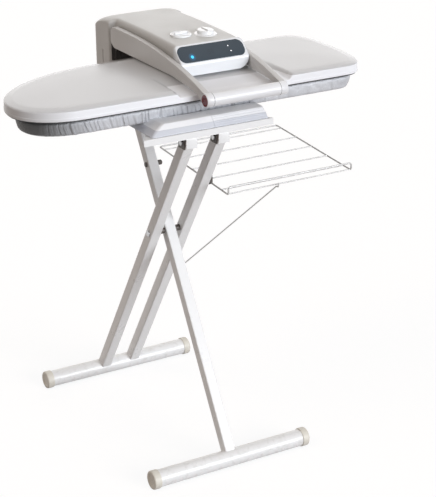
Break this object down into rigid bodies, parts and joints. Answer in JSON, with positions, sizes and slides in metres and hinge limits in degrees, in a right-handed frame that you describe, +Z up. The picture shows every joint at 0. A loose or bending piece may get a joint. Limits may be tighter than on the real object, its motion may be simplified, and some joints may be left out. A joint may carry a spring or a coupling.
{
  "type": "steam ironing press",
  "caption": "Free-standing steam ironing press: padded board under a hinged heated platen with a lever handle and touch panel, on a folding crossed-leg stand with a wire rack.",
  "frame": {"origin": "on the floor, at the middle of the footprint's bounding box", "axes": "+Z up; +X along the board from its rounded nose to its square end; +Y from the handle side to the hinge column"},
  "size_m": [1.07, 0.8253, 1.1772],
  "materials": {
    "body_grey": "semi-gloss moulded",
    "platen_grey": "smooth semi-gloss paint",
    "fascia_white": "gloss moulded",
    "panel_glass": "polished dark panel",
    "button_red": "gloss",
    "stand_paint": "gloss paint",
    "cap_cream": "fine matte",
    "cover_cloth": "woven metallised cloth",
    "pad_foam": "open-cell foam",
    "zinc_steel": "zinc plated",
    "cast_alloy": "cast, satin",
    "rack_wire": "powder coat",
    "bracket_dark": "dark paint",
    "tank_clear": "translucent moulded",
    "card_green": "lacquered circuit card",
    "gland_black": "matte"
  },
  "bodies": {
    "base": {"base_pan_left": "fascia_white", "base_pan_right": "fascia_white", "base_beam": "zinc_steel", "board_tray": "zinc_steel", "board_pad": "pad_foam", "board_cover": "cover_cloth", "rear_base": "body_grey", "cord_gland": "gland_black", "hinge_bracket": "zinc_steel", "hinge_pin": "zinc_steel", "lift_spring": "zinc_steel", "front_bar": "stand_paint", "leg_bracket_left": "bracket_dark", "leg_bracket_right": "bracket_dark"},
    "head": {"arm_cover": "body_grey", "under_cover": "body_grey", "column_shell": "body_grey", "front_fascia": "fascia_white", "control_glass": "panel_glass", "control_card": "card_green", "lift_arm": "cast_alloy", "platen_pin": "zinc_steel", "yoke_shaft": "zinc_steel", "water_tank": "tank_clear"},
    "platen": {"platen_cover": "platen_grey", "heating_plate": "cast_alloy", "platen_bracket": "zinc_steel"},
    "yoke": {"yoke_arm_left": "body_grey", "yoke_arm_right": "body_grey", "handle_grip": "fascia_white", "handle_screw_left": "zinc_steel", "handle_screw_right": "zinc_steel"},
    "left_button": {"steam_button_left": "button_red"},
    "right_button": {"steam_button_right": "button_red"},
    "filler": {"filler_cap": "body_grey"},
    "dial": {"steam_dial": "fascia_white"},
    "outer_legs": {"outer_leg_left": "stand_paint", "outer_leg_right": "stand_paint", "rear_foot": "stand_paint", "rear_foot_cap_left": "cap_cream", "rear_foot_cap_right": "cap_cream", "leg_bolt_left": "zinc_steel", "leg_bolt_right": "zinc_steel", "crossing_bolt": "zinc_steel", "rack_bolt": "zinc_steel", "rack_stay": "rack_wire"},
    "inner_legs": {"inner_leg": "stand_paint", "front_foot": "stand_paint", "front_foot_cap_left": "cap_cream", "front_foot_cap_right": "cap_cream", "rear_bar": "stand_paint", "rear_bar_cradle": "bracket_dark", "crossing_spacer_left": "bracket_dark", "crossing_spacer_right": "bracket_dark", "stop_knob": "bracket_dark"},
    "rack": {"wire_rack": "rack_wire", "rack_hub": "bracket_dark"}
  },
  "joints": [
    {"name": "head_lift", "type": "hinge", "parent": "base", "child": "head", "pos_m": [0.081, 0.36075, 1.005], "axis": [-1, 0, 0], "range_deg": [0, 35]},
    {"name": "platen_level", "type": "hinge", "parent": "head", "child": "platen", "pos_m": [0.081, -0.03225, 1.104], "axis": [-1, 0, 0], "range_deg": [-1, 1], "stiffness_Nm_per_rad": 400},
    {"name": "handle_press", "type": "hinge", "parent": "head", "child": "yoke", "pos_m": [0.081, 0.25775, 1.112], "axis": [-1, 0, 0], "range_deg": [0, 12]},
    {"name": "steam_button_left_push", "type": "slide", "parent": "yoke", "child": "left_button", "axis": [1, 0, 0], "range_m": [0, 0.003], "stiffness_N_per_m": 400, "springref_m": -0.002},
    {"name": "steam_button_right_push", "type": "slide", "parent": "yoke", "child": "right_button", "axis": [-1, 0, 0], "range_m": [0, 0.003], "stiffness_N_per_m": 400, "springref_m": -0.002},
    {"name": "filler_cap_lift", "type": "slide", "parent": "head", "child": "filler", "axis": [0, -0.029, 0.9996], "range_m": [0, 0.03]},
    {"name": "steam_dial_turn", "type": "hinge", "parent": "head", "child": "dial", "pos_m": [0.114, 0.00575, 1.16175], "axis": [0, -0.033, 0.9995], "range_deg": [0, 270]},
    {"name": "stand_fold", "type": "hinge", "parent": "base", "child": "outer_legs", "pos_m": [-0.04, -0.25395, 0.947], "axis": [-1, 0, 0], "range_deg": [0, 28]},
    {"name": "stand_scissor", "type": "hinge", "parent": "outer_legs", "child": "inner_legs", "pos_m": [-0.04, -0.03871, 0.61319], "axis": [-1, 0, 0], "range_deg": [-54.2, 0]},
    {"name": "rack_fold", "type": "hinge", "parent": "outer_legs", "child": "rack", "pos_m": [0.035, -0.14625, 0.79099], "axis": [-1, 0, 0], "range_deg": [0, 55]}
  ],
  "couplings": [
    {"joint": "stand_scissor", "follows": "stand_fold", "ratio": -1.93}
  ]
}
